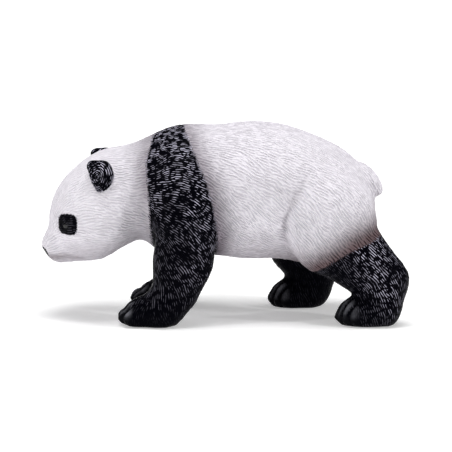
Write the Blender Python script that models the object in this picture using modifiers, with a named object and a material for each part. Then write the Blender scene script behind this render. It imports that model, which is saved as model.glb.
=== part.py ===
"""Walking panda figurine, moulded in one piece, standing on four flat soles.

It faces -Y, its left side is +X, and the origin is on the ground at the middle of its outline.
"""

import math

import bmesh
import bpy
import numpy as np
from mathutils import Matrix, Vector

LENGTH = 0.100  # nose to the trailing heel
SOLE_EDGE = 0.0008  # rounding where a sole meets the side of its foot
FUSE_VOXEL = 0.0007  # grid that fuses the blocked-out masses
FACE_BUDGET = 8200  # triangles left in the finished solid

# Places and radii below are in hundredths of LENGTH: millimetres on this figure.
UNIT = LENGTH / 100

LEFT, RIGHT = 1, -1

TORSO_BLEND = 7.0
NECK_BLEND = 4.0
LEG_BLEND = 2.6
THIGH_BLEND = 1.5
EAR_BLEND = 0.9
TAIL_BLEND = 1.2


class Ball:
    """An ellipsoid, turned about X, then Y, then Z."""

    def __init__(self, centre, radii, blend=1.0, turn=(0, 0, 0)):
        self.centre = np.array(centre, float)
        self.radii = np.array(radii, float)
        self.blend = blend
        turns = [Matrix.Rotation(math.radians(angle), 3, axis) for angle, axis in zip(turn, "XYZ")]
        self.frame = np.array(turns[2] @ turns[1] @ turns[0])

    def distance(self, points):
        local = (points - self.centre) @ self.frame
        near = np.linalg.norm(local / self.radii, axis=1)
        slope = np.linalg.norm(local / self.radii**2, axis=1)
        return near * (near - 1) / np.maximum(slope, 1e-9)

    def block_out(self, mesh):
        place = Matrix(self.frame).to_4x4() @ Matrix.Diagonal((*self.radii, 1))
        place.translation = Vector(self.centre)
        bmesh.ops.create_icosphere(mesh, subdivisions=3, radius=1, matrix=place)


class Taper:
    """A round limb between two balls; flat scales its width across the body."""

    def __init__(self, start, end, start_radius, end_radius, blend=1.0, flat=1.0):
        self.start = np.array(start, float)
        self.end = np.array(end, float)
        self.start_radius = start_radius
        self.end_radius = end_radius
        self.blend = blend
        self.flat = flat

    def distance(self, points):
        squeeze = np.array((1 / self.flat, 1, 1))
        along = (self.end - self.start) * squeeze
        offset = (points - self.start) * squeeze
        share = np.clip(offset @ along / (along @ along), 0, 1)
        radius = self.start_radius + (self.end_radius - self.start_radius) * share
        return np.linalg.norm(offset - share[:, None] * along, axis=1) - radius

    def block_out(self, mesh):
        before = len(mesh.verts)
        for centre, radius in ((self.start, self.start_radius), (self.end, self.end_radius)):
            place = Matrix.Diagonal((self.flat * radius, radius, radius, 1))
            place.translation = Vector(centre)
            bmesh.ops.create_icosphere(mesh, subdivisions=2, radius=1, matrix=place)
        mesh.verts.ensure_lookup_table()
        bmesh.ops.convex_hull(mesh, input=mesh.verts[before:])


class Hollow:
    """A mass that is carved out of those before it."""

    def __init__(self, mass):
        self.mass = mass
        self.blend = mass.blend


def blended(first, second, width):
    """The distance to two masses that flow into each other over width."""
    share = np.clip(0.5 + 0.5 * (second - first) / width, 0, 1)
    return second + (first - second) * share - width * share * (1 - share)


def mirrored(place, side):
    return (side * place[0], place[1], place[2])


def limb(places, radii, blend, flat=1.0, side=LEFT):
    """Tapers from each place to the next."""
    ends = [mirrored(place, side) for place in places]
    return [
        Taper(start, end, r0, r1, blend, flat)
        for start, end, r0, r1 in zip(ends, ends[1:], radii, radii[1:])
    ]


def torso():
    return [
        Ball((0, 6.0, 34.3), (18.4, 26.5, 18.5)),
        Ball((0, 25.0, 29.3), (17.2, 13.8, 15.3), TORSO_BLEND),
        Ball((0, -12.4, 34.0), (15.6, 13.0, 15.9), TORSO_BLEND),
        Taper((0, -14, 36.8), (0, -29, 34.0), 12.6, 11.4, TORSO_BLEND, 1.12),
        Ball((0, -15.2, 26.4), (10.0, 7.8, 9.4), 4.0),
    ]


def head():
    masses = [Ball((0, -34.6, 30.3), (14.2, 15.9, 12.4), turn=(44, 0, 0))]
    for side in (LEFT, RIGHT):
        masses.append(Ball(mirrored((8.6, -35.8, 26.8), side), (7.8, 8.2, 7.6), 4.0))
    masses += [
        Taper((0, -40.6, 23.0), (0, -46.0, 19.8), 7.4, 4.7, 3.0, 1.25),
        Taper((0, -36.6, 21.0), (0, -45.6, 18.2), 5.0, 3.2, 2.5, 1.5),
        Ball((0, -50.1, 19.6), (2.5, 1.0, 1.7), 0.8),
    ]
    for side in (LEFT, RIGHT):
        masses.append(Ball(mirrored((9.0, -43.3, 26.0), side), (1.4, 1.4, 1.4), 0.6))
    return masses


def ear(side):
    """A rounded ear with a corner at its front and a shallow dish."""
    turn = (0, -14 * side, -40 * side)
    crown, corner = mirrored((11.9, -34.8, 40.8), side), mirrored((10.9, -36.9, 42.6), side)
    return [
        Ball(mirrored((11.8, -34.3, 39.9), side), (2.4, 3.7, 4.3), turn=turn),
        Taper(crown, corner, 2.4, 1.5, 1.6),
        Hollow(Ball(mirrored((14.0, -36.0, 40.6), side), (1.3, 2.6, 2.8), 0.8, turn)),
    ]


def toes(place, heading, reach, width, size, side):
    """Five toes on an arc at the front of a paw, turned inwards by heading degrees."""
    masses = []
    for step in range(-2, 3):
        across = step * width / 5
        ahead = reach - 0.3 * step * step * size
        turn = math.radians(heading)
        x = place[0] + across * math.cos(turn) - ahead * math.sin(turn)
        y = place[1] - across * math.sin(turn) - ahead * math.cos(turn)
        radii = (0.72 * size, 1.5 * size, 1.15 * size)
        masses.append(Ball(mirrored((x, y, place[2]), side), radii, 0.55, (0, 0, -heading * side)))
    return masses


def foreleg(side, shoulder, places, radii, paw, ball, ball_radius):
    masses = [Ball(mirrored(shoulder, side), (7.2, 8.0, 14.0), turn=(4, -16 * side, 0))]
    masses += limb(places, radii, 3.0, 0.8, side)
    masses += limb([paw, ball], (5.7, ball_radius), 3.0, 1.12, side)
    return masses + toes((ball[0], ball[1], 2.3), 8, 3.7, 11.0, 1.9, side)


def left_foreleg():
    return foreleg(
        LEFT,
        (13.2, -12.8, 33.5),
        [(15.0, -11.8, 25.5), (14.6, -12.7, 17.6), (14.2, -14.6, 9.8)],
        (7.9, 7.4, 6.4),
        (14.0, -18.2, 4.3),
        (13.2, -24.0, 2.8),
        4.7,
    )


def right_foreleg():
    return foreleg(
        RIGHT,
        (13.2, -13.0, 33.5),
        [(15.0, -12.6, 25.0), (14.6, -12.8, 17.0), (14.2, -13.4, 9.2)],
        (7.2, 6.4, 5.8),
        (14.0, -15.0, 4.3),
        (13.4, -21.4, 2.8),
        4.0,
    )


def hind_leg(side, thigh, thigh_radii, places, radii, heel, ball, toe_turn):
    masses = [Ball(mirrored(thigh, side), thigh_radii)]
    masses += limb(places, radii, 3.0, 0.8, side)
    masses += limb([heel, ball], (5.2, 4.7), 2.5, 1.12, side)
    return masses + toes((ball[0], ball[1], 2.3), toe_turn, 2.8, 10.8, 1.9, side)


def left_hind_leg():
    return hind_leg(
        LEFT,
        (11.7, 26.3, 27.2),
        (8.6, 12.4, 13.8),
        [(12.2, 27.5, 21.0), (12.8, 34.4, 17.3), (13.2, 40.2, 11.8), (13.2, 40.7, 6.8)],
        (7.4, 7.8, 6.6, 4.9),
        (13.2, 39.8, 3.8),
        (12.8, 33.0, 2.8),
        -28,
    )


def right_hind_leg():
    return hind_leg(
        RIGHT,
        (11.4, 23.4, 26.2),
        (8.6, 12.4, 13.0),
        [(12.4, 19.5, 20.0), (12.4, 17.5, 16.3), (11.8, 22.4, 9.4), (11.6, 22.8, 5.4)],
        (7.2, 6.4, 5.8, 4.6),
        (11.6, 20.8, 3.6),
        (11.4, 15.4, 2.8),
        24,
    )


def tail():
    return [Ball((0, 37.2, 37.2), (4.6, 2.3, 5.3), turn=(36, 0, 0))]


def groups():
    """The masses of each part of the body, with the width over which it flows into the rest."""
    return [
        (torso(), 0),
        (head(), NECK_BLEND),
        (left_foreleg(), LEG_BLEND),
        (right_foreleg(), LEG_BLEND),
        (left_hind_leg(), THIGH_BLEND),
        (right_hind_leg(), THIGH_BLEND),
        (tail(), TAIL_BLEND),
        (ear(LEFT), EAR_BLEND),
        (ear(RIGHT), EAR_BLEND),
    ]


def group_distance(masses, points):
    found = masses[0].distance(points)
    for mass in masses[1:]:
        if isinstance(mass, Hollow):
            found = -blended(-found, mass.mass.distance(points), mass.blend)
        else:
            found = blended(found, mass.distance(points), mass.blend)
    return found


def skin_distance(body, points):
    """How far each point lies outside the figure, cut off level with the ground."""
    found = None
    for masses, blend in body:
        one = group_distance(masses, points)
        found = one if found is None else blended(found, one, blend)
    return -blended(-found, points[:, 2], SOLE_EDGE / UNIT)


def onto_skin(body, points):
    """One step of each point towards the blended skin, along the slope of the distance."""
    nudge = 0.01
    here = skin_distance(body, points)
    slope = np.empty_like(points)
    for axis in range(3):
        ahead = points.copy()
        ahead[:, axis] += nudge
        slope[:, axis] = (skin_distance(body, ahead) - here) / nudge
    steep = np.maximum((slope**2).sum(axis=1), 0.05)
    return points - np.clip(here / steep, -1.5, 1.5)[:, None] * slope


def fused(body):
    """One closed mesh of all the masses, in units, from Blender's voxel remesh."""
    mesh = bmesh.new()
    for masses, _ in body:
        for mass in masses:
            if not isinstance(mass, Hollow):
                mass.block_out(mesh)
    data = bpy.data.meshes.new("blockout")
    mesh.to_mesh(data)
    mesh.free()
    blockout = bpy.data.objects.new("blockout", data)
    bpy.context.scene.collection.objects.link(blockout)
    remesh = blockout.modifiers.new("fuse", "REMESH")
    remesh.mode = "VOXEL"
    remesh.voxel_size = FUSE_VOXEL / UNIT
    graph = bpy.context.evaluated_depsgraph_get()
    made = bpy.data.meshes.new_from_object(blockout.evaluated_get(graph))
    bpy.data.objects.remove(blockout)
    bpy.data.meshes.remove(data)
    return made


def coordinates(mesh):
    points = np.empty(len(mesh.vertices) * 3)
    mesh.vertices.foreach_get("co", points)
    return points.reshape(-1, 3)


def evened(points, edges):
    """Each point half way to the middle of its neighbours."""
    ends = edges.ravel()
    others = edges[:, ::-1].ravel()
    count = np.bincount(ends, minlength=len(points))
    total = [np.bincount(ends, points[others, axis], len(points)) for axis in range(3)]
    return 0.5 * points + 0.5 * np.transpose(total) / count[:, None]


def settle(mesh, body, rounds):
    """Evens the mesh out, and moves each vertex onto the blended skin, by so many steps each round."""
    edges = np.empty(len(mesh.edges) * 2, int)
    mesh.edges.foreach_get("vertices", edges)
    points = coordinates(mesh)
    for steps in rounds:
        points = evened(points, edges.reshape(-1, 2))
        for _ in range(steps):
            points = onto_skin(body, points)
    mesh.vertices.foreach_set("co", points.ravel())
    return mesh


def thinned(mesh):
    """The mesh with fewer faces where the form is plain."""
    dense = bpy.data.objects.new("dense", mesh)
    bpy.context.scene.collection.objects.link(dense)
    faces = sum(len(face.vertices) - 2 for face in mesh.polygons)
    thin = dense.modifiers.new("thin", "DECIMATE")
    thin.ratio = min(1.0, FACE_BUDGET / faces)
    thin.use_collapse_triangulate = True
    graph = bpy.context.evaluated_depsgraph_get()
    made = bpy.data.meshes.new_from_object(dense.evaluated_get(graph))
    bpy.data.objects.remove(dense)
    return made


def stood_on_ground(mesh):
    """Flattens the soles exactly, scales to metres and puts the origin under the middle."""
    points = coordinates(mesh)
    points[points[:, 2] < 0.12, 2] = 0
    middle = (points.min(axis=0) + points.max(axis=0)) / 2
    middle[2] = 0
    points = (points - middle) * UNIT
    mesh.vertices.foreach_set("co", points.ravel())
    mesh.update()
    return mesh


def painted_plastic():
    material = bpy.data.materials.new("painted_plastic")
    material.use_nodes = True
    shader = material.node_tree.nodes["Principled BSDF"]
    shader.inputs["Base Color"].default_value = (0.70, 0.68, 0.72, 1)
    shader.inputs["Roughness"].default_value = 0.5
    shader.inputs["Metallic"].default_value = 0.0
    return material


def main():
    for old in list(bpy.data.objects):
        bpy.data.objects.remove(old)
    body = groups()
    mesh = thinned(settle(fused(body), body, (1, 1, 1, 3)))
    mesh = stood_on_ground(settle(mesh, body, (1, 1, 1, 1, 2)))
    mesh.name = "panda_figurine"
    mesh.materials.clear()
    mesh.materials.append(painted_plastic())
    mesh.shade_smooth()
    mesh.set_sharp_from_angle(angle=math.radians(60))
    figure = bpy.data.objects.new("panda_figurine", mesh)
    collection = bpy.data.collections.new("panda figurine")
    bpy.context.scene.collection.children.link(collection)
    collection.objects.link(figure)


main()
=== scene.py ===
import math
from collections import namedtuple

import bmesh
import bpy
import numpy as np
from mathutils import Matrix, Vector
from mathutils.kdtree import KDTree


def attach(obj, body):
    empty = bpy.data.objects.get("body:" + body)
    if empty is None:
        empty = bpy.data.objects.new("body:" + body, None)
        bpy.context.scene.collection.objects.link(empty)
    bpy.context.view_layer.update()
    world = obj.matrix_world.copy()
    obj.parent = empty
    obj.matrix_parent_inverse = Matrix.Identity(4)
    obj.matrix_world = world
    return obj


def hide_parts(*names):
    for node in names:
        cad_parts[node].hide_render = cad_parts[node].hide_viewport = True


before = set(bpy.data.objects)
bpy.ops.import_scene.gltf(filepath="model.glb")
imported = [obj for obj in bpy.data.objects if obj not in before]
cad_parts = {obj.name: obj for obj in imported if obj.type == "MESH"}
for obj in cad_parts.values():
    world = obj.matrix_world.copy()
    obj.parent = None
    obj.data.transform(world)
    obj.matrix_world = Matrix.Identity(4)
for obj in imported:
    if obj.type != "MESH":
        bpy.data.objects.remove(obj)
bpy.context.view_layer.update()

MM = 0.001
LEFT, RIGHT = 1, -1

# The camera, which stands as the photograph's did, in metres.
CAMERA_RISE = 10.2  # degrees above level
CAMERA_DISTANCE = 0.8
CAMERA_AIM = (0, 0.0005, 0.0244)
PHOTO_WIDTH = 452  # pixels
PIXEL = 0.0002695  # what one pixel shows of the figure's middle plane
SENSOR_WIDTH = 36  # mm

# Each soft light: its name, place, side and power, in metres and watts.
LIGHTS = [
    ("overhead", (0.03, 0.0, 0.85), 0.5, 6.3),
    ("front_left", (0.36, -0.80, 0.45), 0.06, 2.2),
    ("rear_left", (0.36, 0.80, 0.42), 0.06, 2.6),
]
LIGHT_AIM = (0, 0, 0.025)
AIR_GLOW = 0.12

# The floor glows a little, less near the figure than far from it, in metres.
FLOOR_SIZE = 3.0
FLOOR_WHITE = (0.85, 0.85, 0.85)
FLOOR_GLOW_NEAR = (0.36, 0.36, 0.36)
FLOOR_GLOW_FAR = (0.85, 0.85, 0.85)
FLOOR_GLOW_REACH = (0.05, 0.7)

# The carved skin, in mm.
SKIN_GRID = 0.46  # spacing of its points
SMOOTHING = 6  # rounds
LOCK_LENGTH = 3.6  # a carved tuft of fur
LOCK_WIDTH = 1.3
LOCK_HEIGHT = 0.25
SMALLEST_LOCK = 0.25  # as a share of a full one
LOCK_SIZES = (0.8, 1.25)  # how much the locks vary in length, width and height
LOCK_WIDTHS = (0.85, 1.1)
LOCK_HEIGHTS = (0.7, 1.0)
LOCK_TURN = 0.16  # how far they turn from the lay of the fur, in radians
LOCK_CURL = 0.12

# The strokes combed into the fur: their pitch and length, and how deep they look, in metres.
WHITE_HAIR = (0.00078, 0.0016)
BLACK_HAIR = (0.00060, 0.00125)
HAIR_DEPTH = 0.00024

# The paints, each on the crests and down in the grooves of the fur; the groove colours are partly a wash and
# partly painted shade, with painted glints on the black's crests and a painted sheen on the knuckles.
WHITE, WHITE_GROOVE = (0.83, 0.80, 0.85), (0.49, 0.45, 0.53)
GREY, GREY_GROOVE = (0.25, 0.218, 0.25), (0.12, 0.10, 0.12)
BROWN, BROWN_GROOVE = (0.150, 0.106, 0.112), (0.038, 0.024, 0.026)
PAINTED_GLINT, BLACK = (0.60, 0.58, 0.71), (0.0012, 0.0012, 0.0028)
KNUCKLE_SHEEN = (0.16, 0.16, 0.18)
EYE_BLACK = (0.004, 0.004, 0.005)
WHITE_ROUGHNESS, BLACK_ROUGHNESS, COAT_ROUGHNESS = 0.50, 0.25, 0.22
TOE_COAT, EYE_COAT = 0.12, 0.6  # clear coat on the toes and nose, and on the eyeballs


def place_camera():
    """Looks at the figure's left side from a little above, as the photograph does."""
    rise = math.radians(CAMERA_RISE)
    back = Vector((math.cos(rise), 0, math.sin(rise)))
    data = bpy.data.cameras.new("side_view")
    data.sensor_width = SENSOR_WIDTH
    data.lens = SENSOR_WIDTH * CAMERA_DISTANCE / (PHOTO_WIDTH * PIXEL)
    data.clip_start = 0.01
    camera = bpy.data.objects.new("side_view", data)
    bpy.context.scene.collection.objects.link(camera)
    camera.location = Vector(CAMERA_AIM) + back * CAMERA_DISTANCE
    camera.rotation_euler = (-back).to_track_quat("-Z", "Y").to_euler()
    bpy.context.scene.camera = camera


def light_the_table():
    """A wide light overhead, two small ones on the left, and a little light from all round."""
    for name, place, side, power in LIGHTS:
        data = bpy.data.lights.new(name, "AREA")
        data.shape = "SQUARE"
        data.size = side
        data.energy = power
        lamp = bpy.data.objects.new(name, data)
        bpy.context.scene.collection.objects.link(lamp)
        lamp.location = place
        lamp.rotation_euler = (Vector(LIGHT_AIM) - Vector(place)).to_track_quat("-Z", "Y").to_euler()
    world = bpy.data.worlds.new("studio_air")
    world.use_nodes = True
    world.node_tree.nodes["Background"].inputs["Color"].default_value = (1, 1, 1, 1)
    world.node_tree.nodes["Background"].inputs["Strength"].default_value = AIR_GLOW
    bpy.context.scene.world = world
    bpy.context.scene.view_settings.view_transform = "Standard"


class Socket:
    """A shader value that can be written in sums."""

    def __init__(self, shader, output):
        self.shader = shader
        self.output = output

    def _math(self, operation, *values):
        return self.shader.node("ShaderNodeMath", {"operation": operation}, dict(enumerate(values)))[0]

    def __add__(self, other):
        return self._math("ADD", self, other)

    def __radd__(self, other):
        return self._math("ADD", other, self)

    def __sub__(self, other):
        return self._math("SUBTRACT", self, other)

    def __rsub__(self, other):
        return self._math("SUBTRACT", other, self)

    def __mul__(self, other):
        return self._math("MULTIPLY", self, other)

    def __rmul__(self, other):
        return self._math("MULTIPLY", other, self)

    def __pow__(self, power):
        return self._math("POWER", self, power)

    def __gt__(self, other):
        """1 where it is more than the other, and 0 elsewhere."""
        return self._math("GREATER_THAN", self, other)

    def at_least(self, other):
        return self._math("MAXIMUM", self, other)

    def rising(self, low, high):
        """0 below low, 1 above high, with a soft step between."""
        node = self.shader.node(
            "ShaderNodeMapRange",
            {"interpolation_type": "SMOOTHSTEP", "clamp": True},
            {"Value": self, "From Min": low, "From Max": high},
        )
        return node["Result"]


class Outputs:
    """A node's outputs, by name or number."""

    def __init__(self, shader, node):
        self.shader = shader
        self.made = node

    def __getitem__(self, key):
        return Socket(self.shader, self.made.outputs[key])


class Shader:
    """One material's node tree."""

    def __init__(self, name):
        self.material = bpy.data.materials.new(name)
        self.material.use_nodes = True
        self.tree = self.material.node_tree
        self.tree.nodes.clear()

    def node(self, kind, settings=None, values=None):
        """A new node with its settings, then the values or links of its inputs."""
        made = self.tree.nodes.new(kind)
        for key, value in (settings or {}).items():
            setattr(made, key, value)
        for key, value in (values or {}).items():
            if isinstance(value, Socket):
                self.tree.links.new(value.output, made.inputs[key])
            elif isinstance(value, (tuple, list)) and made.inputs[key].type == "RGBA":
                made.inputs[key].default_value = (*value, 1)
            else:
                made.inputs[key].default_value = value
        return Outputs(self, made)

    def attribute(self, name, output="Fac"):
        return self.node("ShaderNodeAttribute", {"attribute_name": name})[output]

    def mix(self, share, first, second):
        """Two colours by share, 0 for the first."""
        settings = {"data_type": "RGBA", "clamp_factor": True}
        return self.node("ShaderNodeMix", settings, {0: share, 6: first, 7: second})[2]

    def noise(self, place, scale, detail, roughness):
        values = {"Vector": place, "Scale": scale, "Detail": detail, "Roughness": roughness}
        return self.node("ShaderNodeTexNoise", {}, values)["Fac"]

    def surface(self, values):
        """Paints the material with one shader."""
        shader = self.node("ShaderNodeBsdfPrincipled", {}, values)["BSDF"]
        self.node("ShaderNodeOutputMaterial", {}, {"Surface": shader})


def coordinates(mesh):
    """The places of a mesh's points, in mm."""
    points = np.empty(len(mesh.vertices) * 3)
    mesh.vertices.foreach_get("co", points)
    return points.reshape(-1, 3) / MM


class Skin:
    """The figure's skin as arrays of points in mm, so that it can be carved."""

    def __init__(self, mesh):
        self.mesh = mesh
        self.points = coordinates(mesh)
        edges = np.empty(len(mesh.edges) * 2, int)
        mesh.edges.foreach_get("vertices", edges)
        edges = edges.reshape(-1, 2)
        self.ends = edges.ravel()
        self.others = edges[:, ::-1].ravel()
        self.count = np.bincount(self.ends, minlength=len(self.points))

    def around(self, values):
        """The mean of each point's neighbours."""
        if values.ndim == 1:
            return np.bincount(self.ends, values[self.others], len(self.points)) / self.count
        return np.transpose([self.around(values[:, axis]) for axis in range(values.shape[1])])

    def smooth(self, rounds, inward=0.55, outward=-0.58):
        """Evens the surface out and keeps its volume."""
        for _ in range(rounds):
            for share in (inward, outward):
                self.points = self.points + share * (self.around(self.points) - self.points)

    def soften(self, values, rounds=2):
        """Evens out a value over the surface."""
        for _ in range(rounds):
            values = 0.5 * values + 0.5 * self.around(values)
        return values

    def normals(self):
        """Puts the points back into the mesh and gives the way that the skin faces at each."""
        self.mesh.vertices.foreach_set("co", (self.points * MM).ravel())
        self.mesh.update()
        found = np.empty(len(self.points) * 3)
        self.mesh.vertex_normals.foreach_get("vector", found)
        return found.reshape(-1, 3)


def fine_copy(node):
    """The solid's surface on an even fine grid."""
    rough = bpy.data.objects.new("rough", node.data.copy())
    bpy.context.scene.collection.objects.link(rough)
    remesh = rough.modifiers.new("even", "REMESH")
    remesh.mode = "VOXEL"
    remesh.voxel_size = SKIN_GRID * MM
    graph = bpy.context.evaluated_depsgraph_get()
    mesh = bpy.data.meshes.new_from_object(rough.evaluated_get(graph))
    bpy.data.objects.remove(rough)
    return mesh


def sided(place, side):
    """A place on the left side, or its mirror image on the right."""
    return np.array((side * place[0], place[1], place[2]), float)


def near(points, place, radii):
    """1 at a place, falling to 0 at its radii."""
    away = ((points - np.array(place)) / np.array(radii)) ** 2
    return np.clip(1 - away.sum(axis=1), 0, 1) ** 2


def fade(away, reach, power=2):
    """1 at no distance, falling off softly round the reach."""
    return np.exp(-((away / reach) ** power))


def along_line(points, line):
    """The distance from each point to a line of points, and the share along it."""
    line = np.array(line, float)
    best = np.full(len(points), 1e9)
    share = np.zeros(len(points))
    for step, (start, end) in enumerate(zip(line, line[1:])):
        along = end - start
        place = np.clip((points - start) @ along / (along @ along), 0, 1)
        away = np.linalg.norm(points - start - place[:, None] * along, axis=1)
        closer = away < best
        best[closer] = away[closer]
        share[closer] = (step + place[closer]) / (len(line) - 1)
    return best, share


RIGHT_LEG_AHEAD = 17  # how far the right hind leg stands ahead of the left one, mm
LAY_REACH = 5.0  # how far each place below tells on the fur round it, mm

# How the fur lies: a place on the left side, in mm, and the way that its locks point.
LAY_OF_FUR = [
    ((3, -48, 22), (0.3, 0.5, 0.8)),
    ((3, -46, 16), (0.4, 0.9, -0.2)),
    ((5, -44, 29), (0.2, 0.4, 1.0)),
    ((6, -41, 36), (0.3, 0.8, 0.7)),
    ((5, -36, 42), (0.2, 1.0, 0.35)),
    ((12, -42, 25), (0.6, 1.0, 0.05)),
    ((13, -36, 31), (0.2, 1.0, 0.1)),
    ((14, -32, 24), (0.0, 1.0, -0.15)),
    ((9, -36, 17), (0.1, 1.0, -0.05)),
    ((10, -27, 38), (0.1, 1.0, 0.0)),
    ((12, -25, 30), (0.2, 1.0, -0.35)),
    ((9, -25, 22), (0.2, 0.8, -0.6)),
    ((4, -16, 51), (0.4, 1.0, 0.0)),
    ((14, -18, 45), (0.0, 1.0, 0.35)),
    ((14, -12, 45), (0.0, 1.0, -0.15)),
    ((19, -17, 37), (0.0, 1.0, 0.25)),
    ((19, -10, 37), (0.0, 1.0, -0.6)),
    ((20, -16, 29), (0.0, 1.0, -0.1)),
    ((20, -8, 29), (0.0, 0.8, -0.8)),
    ((19, -15, 22), (0.0, 0.5, -0.8)),
    ((19, -7, 20), (0.0, 0.8, -0.7)),
    ((19, -13, 14), (0.0, 0.45, -0.9)),
    ((18, -16, 9), (0.0, 0.2, -1.0)),
    ((15, -22, 6), (0.0, -0.3, -1.0)),
    ((3, 0, 52), (0.1, 1.0, -0.05)),
    ((12, 0, 47), (0.2, 1.0, -0.35)),
    ((18, 0, 38), (0.0, 1.0, -0.55)),
    ((18, 2, 29), (0.0, 0.9, -0.8)),
    ((14, 4, 20), (-0.1, 0.9, -0.8)),
    ((4, 5, 16), (0.0, 1.0, -0.1)),
    ((3, 20, 50), (0.1, 1.0, -0.3)),
    ((14, 18, 42), (0.0, 0.9, -0.5)),
    ((18, 24, 33), (0.0, 0.85, -0.75)),
    ((19, 26, 22), (0.0, 0.7, -0.9)),
    ((4, 33, 43), (0.1, 0.8, -0.7)),
    ((14, 35, 32), (0.0, 0.7, -0.9)),
    ((4, 39, 30), (0.0, 0.2, -1.0)),
    ((0, 41, 35), (0.0, 0.6, -0.9)),
    ((18, 31, 17), (0.0, 0.6, -0.8)),
    ((18, 38, 19), (0.0, 0.8, -0.6)),
    ((18, 41, 13), (0.0, 0.75, -0.7)),
    ((17, 43, 7), (0.0, 0.3, -1.0)),
    ((15, 36, 5), (0.0, 0.2, -1.0)),
]


def lay_of_fur(points, normals):
    """The direction of the fur at each point, lying in the skin."""
    folded = points.copy()
    folded[:, 0] = np.abs(folded[:, 0])
    ahead = (points[:, 0] < 0) & (points[:, 1] > 8) & (points[:, 2] < 22)
    folded[ahead, 1] += RIGHT_LEG_AHEAD
    total = np.zeros_like(points)
    for place, way in LAY_OF_FUR:
        way = np.array(way) / np.linalg.norm(way)
        away = (((folded - place) / LAY_REACH) ** 2).sum(axis=1)
        total += np.exp(-0.5 * np.minimum(away, 60))[:, None] * way
        total += 1e-9 * way / (1 + away[:, None]) ** 2
    total[:, 0] *= np.where(points[:, 0] < 0, -1, 1)
    return in_skin(total, normals)


def in_skin(ways, normals):
    """Directions laid flat in the skin, one unit long."""
    flat = ways - (ways * normals).sum(axis=1)[:, None] * normals
    return flat / np.maximum(np.linalg.norm(flat, axis=1), 1e-9)[:, None]


def scattered(points, spacing, seed):
    """One point from each cell of a grid, in a seeded order."""
    order = np.random.default_rng(seed).permutation(len(points))
    cells = np.floor(points[order] / spacing).astype(int)
    cells -= cells.min(axis=0)
    span = cells.max(axis=0) + 1
    keys = (cells[:, 0] * span[1] + cells[:, 1]) * span[2] + cells[:, 2]
    first = np.unique(keys, return_index=True)[1]
    return order[np.sort(first)]


def carved_locks(points, normals, lay, size, seed=7):
    """The height of the carved locks at each point, 0 to 1, each thick at its tip."""
    tree = KDTree(len(points))
    for index, place in enumerate(points):
        tree.insert(place, index)
    tree.balance()
    height = np.zeros(len(points))
    draw = np.random.default_rng(seed)
    for index in scattered(points, LOCK_WIDTH, seed):
        scale = size[index] * draw.uniform(*LOCK_SIZES)
        if size[index] < SMALLEST_LOCK:
            continue
        length = LOCK_LENGTH * scale
        width = LOCK_WIDTH * (0.75 + 0.25 * scale) * draw.uniform(*LOCK_WIDTHS)
        turn = draw.normal(0, LOCK_TURN)
        way = lay[index] + turn * np.cross(normals[index], lay[index])
        way /= np.linalg.norm(way)
        across = np.cross(normals[index], way)
        found = [item[1] for item in tree.find_range(points[index], 0.62 * length)]
        gap = points[found] - points[index]
        curl = draw.uniform(-LOCK_CURL, LOCK_CURL)
        along = gap @ way / length + 0.5
        aside = gap @ across / (0.5 * width) + curl * (along - 0.5) ** 2 * 8
        facing = (normals[found] @ normals[index]) > 0.3
        taper = np.sqrt(np.clip(along * 2.2, 0, 1)) * np.sqrt(np.clip((1 - along) * 3.0, 0, 1))
        body = np.clip(1 - (aside / np.maximum(taper, 0.05)) ** 2, 0, 1)
        rise = (0.35 + 0.65 * along) * draw.uniform(*LOCK_HEIGHTS)
        lift = np.where((along > 0) & (along < 1) & facing, body * rise, 0)
        height[found] = np.maximum(height[found], lift)
    return height


FORELEG_REACH = 9.6  # the black of a foreleg, from the middle of the leg, mm
FORELEG_TOP = 21  # and how high it goes by itself
HIND_LEG_REACH = 10.5
UNPAINTED = -20.0  # how far outside the black a point counts that is near none of it, mm


def band_front(height):
    """Where the black shoulder band starts, along the body, at a height."""
    return np.interp(height, (19, 34, 43, 49, 52), (-19.4, -20.0, -20.7, -19.2, -17.4))


def band_rear(height):
    """Where the black shoulder band ends, along the body, at a height."""
    return np.interp(height, (14, 18, 24, 32, 39, 46, 52), (-2.8, -2.0, -1.6, -2.8, -4.6, -7.8, -10.8))


def inside_shoulder_band(points):
    """How far each point lies inside the black of the shoulders and forelegs, in mm."""
    y, z = points[:, 1], points[:, 2]
    band = np.minimum(y - band_front(z), band_rear(z) - y)
    for side, foot in ((LEFT, -23.0), (RIGHT, -20.0)):
        leg = [(15, -11.5, 26), (14.6, -11.2, 17), (14.2, -13.0, 9.5), (13.6, foot, 3)]
        away, _ = along_line(points, [sided(place, side) for place in leg])
        band = np.maximum(band, np.minimum(FORELEG_REACH - away, FORELEG_TOP - z))
    return band


def inside_hind_black(points):
    """How far each point lies below the edge of the black on the hind legs, in mm."""
    y, z = points[:, 1], points[:, 2]
    left = np.interp(y, (10, 24.0, 33.0, 41.5, 47), (10.5, 14.6, 20.6, 24.2, 25.5)) - z
    right = np.interp(y, (4, 15.0, 21.0, 30.0, 40), (11.0, 14.8, 17.2, 20.0, 22.0)) - z
    found = np.full(len(points), UNPAINTED)
    legs = (
        (LEFT, left, [(12.4, 29, 19), (12.8, 36, 17), (13.2, 42, 12), (13.2, 42.5, 6), (12.8, 33.5, 3)]),
        (RIGHT, right, [(12.4, 21, 19), (12.4, 19.4, 16), (11.8, 24.2, 9.4), (11.6, 24, 5), (11.4, 16.5, 3)]),
    )
    for side, edge, leg in legs:
        away, _ = along_line(points, [sided(place, side) for place in leg])
        found = np.maximum(found, np.minimum(HIND_LEG_REACH - away, edge))
    return found


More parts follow.
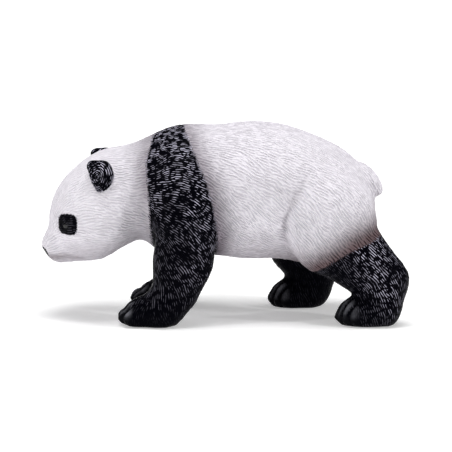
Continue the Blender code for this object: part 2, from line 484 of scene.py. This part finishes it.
def blend_of(points, centre, radii, turn, side):
    """How far inside an ellipsoid each point lies, in mm, below 0 outside it."""
    turns = [Matrix.Rotation(math.radians(angle), 3, axis) for angle, axis in zip(turn, "XYZ")]
    axes = np.array(turns[2] @ turns[1] @ turns[0])
    local = (points - sided(centre, side)) @ axes
    reach = np.linalg.norm(local / radii, axis=1)
    slope = np.linalg.norm(local / np.array(radii) ** 2, axis=1)
    return -reach * (reach - 1) / np.maximum(slope, 1e-9)


# The ears, eyes and nose: places on the left side, half sizes and turns, in mm and degrees.
EAR, EAR_SIZE, EAR_TURN = (12.0, -33.0, 40.1), (3.3, 4.2, 4.6), (0, -14, -40)
EAR_CORNER = [(11.9, -33.1, 40.4), (10.9, -35.6, 42.2)]  # the line that fills its upper front corner
EAR_CORNER_REACH = 2.3
EAR_MIDDLE, EAR_FACING = (13.5, -33.8, 39.9), (0.75, -0.62, 0.1)
EYE_PATCH, EYE_PATCH_SIZE = (-41.5, 27.0), (2.65, 2.85)  # along the head and up
EYE_PATCH_LEAN = 0.10
EYE_PATCH_SQUARENESS = 3.2
EYEBALL = (10.2, -41.9, 26.4)
EYEBALL_SIZE, EYE_SHINE_SIZE = (1.6, 1.0, 0.85), (2.4, 1.0, 0.85)
NOSE, NOSE_SIZE = (0, -49.0, 17.5), (4.2, 3.1, 1.8)
NOSTRIL, NOSTRIL_SIZE = (1.15, -50.0, 17.6), (0.6, 1.6, 0.5)


def inside_ears(points):
    """How far each point lies inside the black of the ears, in mm."""
    found = np.full(len(points), UNPAINTED)
    for side in (LEFT, RIGHT):
        turn = [EAR_TURN[0], EAR_TURN[1] * side, EAR_TURN[2] * side]
        one = blend_of(points, EAR, EAR_SIZE, turn, side)
        corner, _ = along_line(points, [sided(place, side) for place in EAR_CORNER])
        found = np.maximum(found, np.maximum(one, EAR_CORNER_REACH - corner))
    y, z = points[:, 1], points[:, 2]
    front = y - np.interp(z, (34.5, 38.1, 43.0, 45.0), (-32.6, -35.0, -36.9, -37.4))
    return np.minimum(found, 0.9 * front)


def inside_eye_patches(points):
    """How far each point lies inside the rounded squares round the eyes, in mm."""
    along = points[:, 1] - EYE_PATCH[0]
    up = points[:, 2] - EYE_PATCH[1] - EYE_PATCH_LEAN * along
    power = EYE_PATCH_SQUARENESS
    reach = np.abs(along / EYE_PATCH_SIZE[0]) ** power + np.abs(up / EYE_PATCH_SIZE[1]) ** power
    depth = (1 - reach ** (1 / power)) * 2.7
    return np.where(np.abs(points[:, 0]) > 4, depth, UNPAINTED)


def inside_nose(points):
    """How far each point lies inside the black of the nose, in mm."""
    return blend_of(points, NOSE, NOSE_SIZE, (0, 0, 0), LEFT)


WAVES = 14  # how many waves the lay of the fur is the sum of
WAVE_TURN = 0.10  # and how far they turn it, in radians


def wavy(points, normals, lay, seed=5):
    """The lay of the fur turned a little one way and the other from place to place."""
    draw = np.random.default_rng(seed)
    turn = np.zeros(len(points))
    for wave in draw.normal(0, 0.75, (WAVES, 3)):
        turn += np.sin(points @ wave + draw.uniform(0, 2 * math.pi))
    turn *= WAVE_TURN / math.sqrt(WAVES / 2)
    side = np.cross(normals, lay)
    return np.cos(turn)[:, None] * lay + np.sin(turn)[:, None] * side


def swirled_ears(points, normals, lay, ears):
    """The fur of the ears, combed round the middle of each."""
    for side in (LEFT, RIGHT):
        round_about = np.cross(points - sided(EAR_MIDDLE, side), sided(EAR_FACING, side))
        share = np.where((ears > -0.2) & (points[:, 0] * side > 0), 1.0, 0.0)[:, None]
        lay = (1 - share) * lay + share * in_skin(round_about, normals)
    return lay


# The line of the mouth from under the nose to its corner, in mm.
MOUTH = [(0.3, -49.0, 15.4), (2.6, -47.8, 16.0), (4.6, -45.6, 16.8), (6.2, -43.0, 17.0), (7.6, -39.6, 16.3)]
MOUTH_WIDTH, MOUTH_SHADE, MOUTH_DEPTH = 0.42, 1.5, 0.42
EYEBALL_HEIGHT, EYELID_DEPTH, NOSTRIL_DEPTH, LIP_SPLIT_DEPTH = 0.42, 0.22, 0.45, 0.3


def face_relief(points):
    """The height of the eyes, nostrils and mouth above the face, in mm, and how near the mouth is."""
    height = np.zeros(len(points))
    mouth = np.zeros(len(points))
    for side in (LEFT, RIGHT):
        eye = np.linalg.norm((points - sided(EYEBALL, side)) / EYEBALL_SIZE, axis=1)
        height += EYEBALL_HEIGHT * np.sqrt(np.clip(1 - eye**2, 0, 1)) - EYELID_DEPTH * fade(eye - 1.35, 0.3)
        nostril = np.linalg.norm((points - sided(NOSTRIL, side)) / NOSTRIL_SIZE, axis=1)
        height -= NOSTRIL_DEPTH * fade(nostril, 1)
        away, share = along_line(points, [sided(place, side) for place in MOUTH])
        height -= MOUTH_DEPTH * fade(away, MOUTH_WIDTH) * (1 - 0.6 * share)
        mouth = np.maximum(mouth, fade(away, MOUTH_SHADE) * (1 - 0.5 * share))
    split = np.linalg.norm(points[:, ::2] - (0, 16.1), axis=1)
    height -= LIP_SPLIT_DEPTH * fade(points[:, 0], 0.3) * (split < 1.0) * (points[:, 1] < -47)
    return height, mouth


# The folds in front of the left thigh: places along the body and up, depth and width, in mm.
THIGH_FOLDS = [
    ([(21.5, 39.5), (18.6, 35.0), (16.2, 29.6), (15.6, 25.0), (16.6, 20.6), (19.2, 17.6)], 0.75, 0.9),
    ([(12.5, 38.2), (15.2, 36.6), (17.8, 34.2)], 0.35, 0.7),
]
RIGHT_FOLDS_AHEAD = 3.2  # how far ahead of the left ones the right thigh's folds lie, mm


def thigh_folds(points):
    """How deep the folds in front of the thighs are at each point, in mm."""
    depth = np.zeros(len(points))
    flat = points.copy()
    flat[:, 0] = 0
    for side, shift in ((LEFT, 0.0), (RIGHT, -RIGHT_FOLDS_AHEAD)):
        on_side = points[:, 0] * side > 8
        for line, deep, width in THIGH_FOLDS:
            away, share = along_line(flat, [(0, y + shift, z) for y, z in line])
            ends = np.sin(np.pi * np.clip(share, 0.04, 0.96)) ** 0.5
            depth = np.maximum(depth, np.where(on_side, deep * ends * fade(away, width), 0))
    return depth


# Each paw: where the ball of it is, which way its toes point, their reach and spacing, in mm and degrees.
Paw = namedtuple("Paw", "side x y heading reach spacing")
PAWS = [
    Paw(LEFT, 13.2, -22.17, 8, 3.7, 2.2),
    Paw(RIGHT, 13.4, -19.57, 8, 3.7, 2.2),
    Paw(LEFT, 12.8, 34.83, -28, 2.8, 2.16),
    Paw(RIGHT, 11.4, 17.23, 24, 2.8, 2.16),
]
MIDDLE_SHIFT = 0.174  # how far the middle of the body lies beside the middle of the frame, mm
PAW_TOP, PAW_REACH = 7, 11
TOE_GAPS = (-1.5, -0.5, 0.5, 1.5)  # across the paw, in toes
TOE_GAP_DEPTH, TOE_GAP_WIDTH = 0.65, 0.42
BARE_TOE_START = 1.3  # how far ahead of the ball of the paw the fur thins out


def on_paw(points, paw):
    """How far each point lies ahead of the ball of a paw and across it, in mm."""
    turn = math.radians(paw.heading)
    away = np.stack([(points[:, 0] + MIDDLE_SHIFT) * paw.side - paw.x, points[:, 1] - paw.y], axis=1)
    ahead = away @ np.array((-math.sin(turn), -math.cos(turn)))
    across = away @ np.array((math.cos(turn), -math.sin(turn)))
    close = np.hypot(away[:, 0], away[:, 1]) < PAW_REACH
    return ahead, across, (points[:, 0] * paw.side > 0) & (points[:, 2] < PAW_TOP) & close


def toe_gaps(points):
    """How deep the grooves between the toes are at each point, in mm."""
    depth = np.zeros(len(points))
    for paw in PAWS:
        ahead, across, on_it = on_paw(points, paw)
        on_it &= points[:, 2] > SOLE_TOP
        for step in TOE_GAPS:
            tip = paw.reach + 2.9 - 0.57 * step * step
            run = np.clip((ahead - tip + 6.2) / 2.6, 0, 1) * (ahead < tip + 3)
            groove = fade(across - step * paw.spacing, TOE_GAP_WIDTH)
            depth = np.maximum(depth, TOE_GAP_DEPTH * run * groove * on_it)
    return depth


def hair_end(points):
    """How far each point lies ahead of where the fur of its paw thins out, in mm."""
    beyond = np.full(len(points), -5.0)
    for paw in PAWS:
        ahead, _, on_it = on_paw(points, paw)
        beyond = np.where(on_it, ahead - BARE_TOE_START, beyond)
    return beyond


# How strong the airbrushed grey is ahead of the shoulder band and behind it, by height in mm, and
# how far it reaches and how fast it fades.
GREY_AHEAD = ((16, 24, 30, 38, 45, 50, 53), (0.4, 0.45, 0.5, 0.7, 0.75, 0.6, 0.4), 3.8, 2)
GREY_BEHIND = ((14, 18, 26, 32, 40, 48, 53), (0.8, 1.0, 1.0, 0.95, 0.85, 0.75, 0.6), 4.2, 1.8)
# Painted shade in the same grey on the skin that faces down, under the belly and chin.
GREY_SHADE_UNDERNEATH = 0.42
# The same for the brown above the hind legs, by place along the body.
BROWN_ABOVE = ((10, 20, 25, 45), (0.4, 0.7, 1.0, 1.0), 6.7, 2.4)


def sprayed(place, away, strength):
    """How much is sprayed at a place, at each distance from the black."""
    places, amounts, reach, power = strength
    return np.interp(place, places, amounts) * fade(away, reach, power)


def airbrush_and_under_shade(points, normals, band, hind):
    """How much mauve grey and how much brown is sprayed at each point, 0 to 1, with painted shade in the grey
    where the skin faces down.
    """
    y, z = points[:, 1], points[:, 2]
    away = np.maximum(-band, 0)
    ahead = y < 0.5 * (band_front(z) + band_rear(z))
    grey = np.where(ahead, sprayed(z, away, GREY_AHEAD), sprayed(z, away, GREY_BEHIND))
    # Painted shade: grey where the skin faces down.
    under = np.clip(-normals[:, 2] - 0.35, 0, 0.5) / 0.5
    grey = np.maximum(grey, GREY_SHADE_UNDERNEATH * under)
    brown = sprayed(y, np.maximum(-hind, 0), BROWN_ABOVE)
    return grey, brown


# How much painted glint lightens the crests of the black fur, by height in mm.
GLINTS_BY_HEIGHT = ((0, 3, 8, 15, 22, 28, 36, 44), (0.0, 0.03, 0.12, 0.2, 0.2, 0.27, 0.56, 0.9))
GLINTS_ON_EAR, GLINTS_ON_EYE, GLINTS_ON_HIND_LEG = 0.8, 0.08, 0.1
# Where the hind legs get more painted glints: a place on the left leg, its half sizes in mm, and how much.
GLINT_SPOTS = [
    ((18, 41.0, 17.5), (9, 8.5, 12), 0.75),
    ((17, 43.5, 8), (8, 6, 8), 0.3),
    ((17, 36, 20), (8, 8, 7), 0.35),
]


def painted_glint_strength(points, normals, hind, ears, eyes):
    """How much painted glint lightens the crests of the black fur, by place."""
    x, y, z = points.T
    rear_edge = np.interp(y, (-14, -7), (0.8, 1.7))
    on_foreleg = np.interp(z, (10, 16, 34, 42), (0, 1, 1, 0))
    glint_share = np.interp(z, *GLINTS_BY_HEIGHT) * (1 + (rear_edge - 1) * on_foreleg)
    folded = np.transpose([np.abs(x), y + np.where(x < 0, RIGHT_LEG_AHEAD, 0), z])
    leg = GLINTS_ON_HIND_LEG + sum(much * near(folded, place, size) for place, size, much in GLINT_SPOTS)
    glint_share = np.where(hind > -1, leg, glint_share)
    inner = np.clip(-normals[:, 0] * np.sign(x) * 2, 0, 1)
    glint_share *= 1 - 0.8 * inner
    return np.where(ears > -0.5, GLINTS_ON_EAR, np.where(eyes > -0.5, GLINTS_ON_EYE, glint_share))


NECK, NECK_LENGTH = -27, 8  # where the body's fur starts to turn into the head's, mm
LEG_LOCK, HEAD_LOCK = 0.72, 0.65  # the size of the locks on the black and on the head
SOLE_TOP, SOLE_FADE = 0.3, 1.5  # no fur is carved below this height, and it grows in above, mm
LAY_EVENING = 6  # rounds
SMALL_PATCH_EDGE = 3  # how much sharper the edge of the black is on the ears, eyes and nose
LOCK_FLOOR, LOCK_MIDDLE = 0.3, 0.6  # the lowest lock height, and the one that leaves the skin as it was
# Brown painted shade at the jaw: a place on the left side and its half sizes, in mm.
JAW_SHADE, JAW_SHADE_SIZE = (7.8, -40.4, 15.8), (4.0, 5.5, 2.4)


def shade_of_details(points, grey, brown, folds, mouth):
    """Adds grey in the folds, partly a wash and partly painted shade, the brown along the mouth, and brown
    painted shade at the jaw.
    """
    brown = np.maximum(brown, 0.75 * mouth)
    for side in (LEFT, RIGHT):
        brown = np.maximum(brown, near(points, sided(JAW_SHADE, side), JAW_SHADE_SIZE))
    return np.maximum(grey, 0.5 * folds), brown


def bare_paws(points, normals, gaps):
    """How bare of fur the toes are, and how bright the painted sheen on their knuckles is, 0 to 1."""
    ahead = hair_end(points)
    bare = np.clip(1 - points[:, 2] / 5.5, 0, 1) * np.clip(ahead / 3, 0, 1)
    upwards = np.abs(normals[:, 0]) * 0.55 - normals[:, 1] * 0.4 + normals[:, 2] * 0.73
    sheen = np.clip(ahead / 1.5, 0, 1) * np.clip(1 - gaps / 0.3, 0, 1) * np.clip(upwards, 0, 1) ** 8
    return bare, sheen


def inside_eyeballs(points):
    """How far inside the shine of an eyeball each point lies, as a share of its size, below 0 outside."""
    gaps = [(points - sided(EYEBALL, side)) / EYE_SHINE_SIZE for side in (LEFT, RIGHT)]
    return 1 - np.min([np.linalg.norm(gap, axis=1) for gap in gaps], axis=0)


def write_guides(mesh, guides, across):
    """Stores what the paint goes by at each point of the skin."""
    for name, values in guides.items():
        guide = mesh.attributes.new(name, "FLOAT", "POINT")
        guide.data.foreach_set("value", values.astype(np.float32))
    guide = mesh.attributes.new("across", "FLOAT_VECTOR", "POINT")
    guide.data.foreach_set("vector", across.astype(np.float32).ravel())


def carve(node):
    """The finished figure: smooth form, details, carved fur, and the guides for its paint."""
    skin = Skin(fine_copy(node))
    skin.smooth(SMOOTHING)
    normals = skin.normals()
    points = skin.points
    ears, eyes, nose = inside_ears(points), inside_eye_patches(points), inside_nose(points)
    band = skin.soften(inside_shoulder_band(points))
    hind = skin.soften(inside_hind_black(points))
    lay = lay_of_fur(points, normals)
    for _ in range(LAY_EVENING):
        lay = in_skin(0.4 * lay + 0.6 * skin.around(lay), normals)
    lay = swirled_ears(points, normals, wavy(points, normals, lay), ears)

    relief, mouth = face_relief(points)
    folds, gaps = thigh_folds(points), toe_gaps(points)
    head = np.clip((NECK - points[:, 1]) / NECK_LENGTH, 0, 1)
    above_sole = np.clip((points[:, 2] - SOLE_TOP) / SOLE_FADE, 0, 1)
    size = np.where(np.maximum(band, hind) > 0, LEG_LOCK, 1 - (1 - HEAD_LOCK) * head)
    size[(eyes > -0.3) | (ears > 0) | (nose > -0.4) | (above_sole < 0.3)] = 0
    locks = np.maximum(carved_locks(points, normals, lay, size), LOCK_FLOOR)
    fur = LOCK_HEIGHT * size * above_sole * (locks - LOCK_MIDDLE)
    skin.points = points + normals * (fur + relief - folds - gaps)[:, None]
    skin.points[:, 2] = np.maximum(skin.points[:, 2], 0)
    skin.normals()

    grey, brown = airbrush_and_under_shade(points, normals, band, hind)
    grey, brown = shade_of_details(points, grey, brown, folds, mouth)
    bare, sheen = bare_paws(points, normals, gaps)
    combed = (1 - 0.9 * bare) * np.where(nose > -0.2, 0.1, 1.0)
    combed *= np.where((ears > -0.5) | (eyes > -0.5), 1.0, 1 - 0.3 * head)
    patches = np.maximum(np.maximum(ears, eyes), nose)
    guides = {
        "lock_height": locks,
        "black_depth": np.maximum(np.maximum(band, hind), SMALL_PATCH_EDGE * patches),
        "combed": combed,
        "glint_share": painted_glint_strength(points, normals, hind, ears, eyes),
        "polished": np.maximum(bare, np.clip(nose / 0.4 + 1, 0, 1)),
        "knuckles": sheen,
        "grey_spray_and_shade": grey,
        "brown_spray_and_shade": brown,
        "eyeball": inside_eyeballs(points),
    }
    write_guides(skin.mesh, guides, np.cross(normals, lay))
    return skin.mesh


STROKE_CONTRAST = (2.6, 2.9)  # on the white and on the black
RAGGED_EDGE = 0.8  # how far the strokes break up the edge of the black, mm


def combed_strokes(paint, place, across, darker):
    """Strokes that follow the lay of the fur, about 0 in a groove and 1 on a crest."""

    def either(on_white, on_black):
        return on_white + darker * (on_black - on_white)

    (white_pitch, white_length), (black_pitch, black_length) = WHITE_HAIR, BLACK_HAIR
    values = {
        0: place,
        "Scale": either(1 / white_length, 1 / black_length),
        "Frequency": either(white_length / white_pitch, black_length / black_pitch),
        "Anisotropy": 1.0,
        5: across,
    }
    value = paint.node("ShaderNodeTexGabor", {"gabor_type": "3D"}, values)["Value"]
    return ((value - 0.5) * either(*STROKE_CONTRAST) + 0.5).rising(0.0, 1.0)


def fur_paint():
    """Satin white and black paint over carved fur, with airbrushed grey and brown at their edges, painted
    shade in the grooves, folds and underneath, and painted glints on the black.
    """
    paint = Shader("painted_fur")
    place = paint.node("ShaderNodeTexCoord")["Object"]
    combed = paint.attribute("combed")
    depth = paint.attribute("black_depth")
    hairs = combed_strokes(paint, place, paint.attribute("across", "Vector"), depth > 0.0)
    black = (depth + (hairs - 0.5) * RAGGED_EDGE).rising(-0.12, 0.12)
    cloud = paint.noise(place, 110.0, 3.0, 0.55)
    shine = paint.attribute("eyeball").rising(-0.02, 0.1)

    # Painted shade between the carved locks, and down in the grooves of the strokes, where the darker colour
    # is partly a wash and partly painted shade.
    between_locks = (0.5 - paint.attribute("lock_height")).rising(0.0, 0.5)
    groove = (0.56 - hairs).rising(-0.05, 0.3) * 0.45 * combed + between_locks * 0.10
    light = paint.mix(groove, WHITE, WHITE_GROOVE)
    # The sprayed grey and brown are darker down in the grooves too, partly a wash and partly painted shade.
    spray = (0.6 - hairs).rising(0.0, 0.5)
    uneven = 0.8 + cloud * 0.4
    grey = paint.mix(spray, GREY, GREY_GROOVE)
    light = paint.mix(paint.attribute("grey_spray_and_shade") * uneven, light, grey)
    brown = paint.mix(spray, BROWN, BROWN_GROOVE)
    light = paint.mix(paint.attribute("brown_spray_and_shade") * uneven, light, brown)

    patches = paint.noise(place, 260.0, 1.0, 0.5).rising(0.25, 0.75)
    # Painted glints: the crests of the black strokes are painted lighter, in patches, where light would catch
    # them.
    crest = (hairs * combed).rising(0.80, 1.0) ** 1.4 * paint.attribute("glint_share") * (0.45 + patches * 0.9)
    dark = paint.mix(crest, BLACK, PAINTED_GLINT)
    # A painted highlight on the knuckles of the toes.
    dark = paint.mix(paint.attribute("knuckles"), dark, KNUCKLE_SHEEN)
    colour = paint.mix(shine, paint.mix(black, light, dark), EYE_BLACK)

    gloss = black * (WHITE_ROUGHNESS - BLACK_ROUGHNESS) + (1.0 - combed) * 0.12 + (0.5 - cloud) * 0.10
    relief = hairs * (1.0 - black * 0.4) * combed + paint.noise(place, 2600.0, 2.0, 0.6) * 0.05
    bump = {"Strength": 1.0, "Distance": HAIR_DEPTH, "Height": relief * (1.0 - shine)}
    paint.surface(
        {
            "Base Color": colour,
            "Roughness": (WHITE_ROUGHNESS - gloss) * (1.0 - shine * 0.8),
            "Normal": paint.node("ShaderNodeBump", {}, bump)["Normal"],
            "Specular IOR Level": 0.01,
            "Coat Weight": (paint.attribute("polished") * TOE_COAT).at_least(shine * EYE_COAT),
            "Coat Roughness": COAT_ROUGHNESS,
        }
    )
    return paint.material


def table_top():
    """A plain pale floor under the figure."""
    mesh = bmesh.new()
    bmesh.ops.create_grid(mesh, x_segments=1, y_segments=1, size=FLOOR_SIZE)
    data = bpy.data.meshes.new("table_top")
    mesh.to_mesh(data)
    mesh.free()
    floor = bpy.data.objects.new("table_top", data)
    bpy.context.scene.collection.objects.link(floor)
    card = Shader("white_card")
    place = card.node("ShaderNodeTexCoord")["Object"]
    away = card.node("ShaderNodeVectorMath", {"operation": "LENGTH"}, {0: place})["Value"]
    card.surface(
        {
            "Base Color": FLOOR_WHITE,
            "Roughness": 0.7,
            "Specular IOR Level": 0.2,
            "Emission Color": card.mix(away.rising(*FLOOR_GLOW_REACH), FLOOR_GLOW_NEAR, FLOOR_GLOW_FAR),
            "Emission Strength": 1.0,
        }
    )
    data.materials.append(card.material)


def main():
    place_camera()
    light_the_table()
    table_top()
    mesh = carve(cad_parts["panda_figurine"])
    mesh.name = "carved_panda"
    mesh.materials.clear()
    mesh.materials.append(fur_paint())
    mesh.shade_smooth()
    panda = bpy.data.objects.new("carved_panda", mesh)
    bpy.context.scene.collection.objects.link(panda)
    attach(panda, "root")
    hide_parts("panda_figurine")


main()
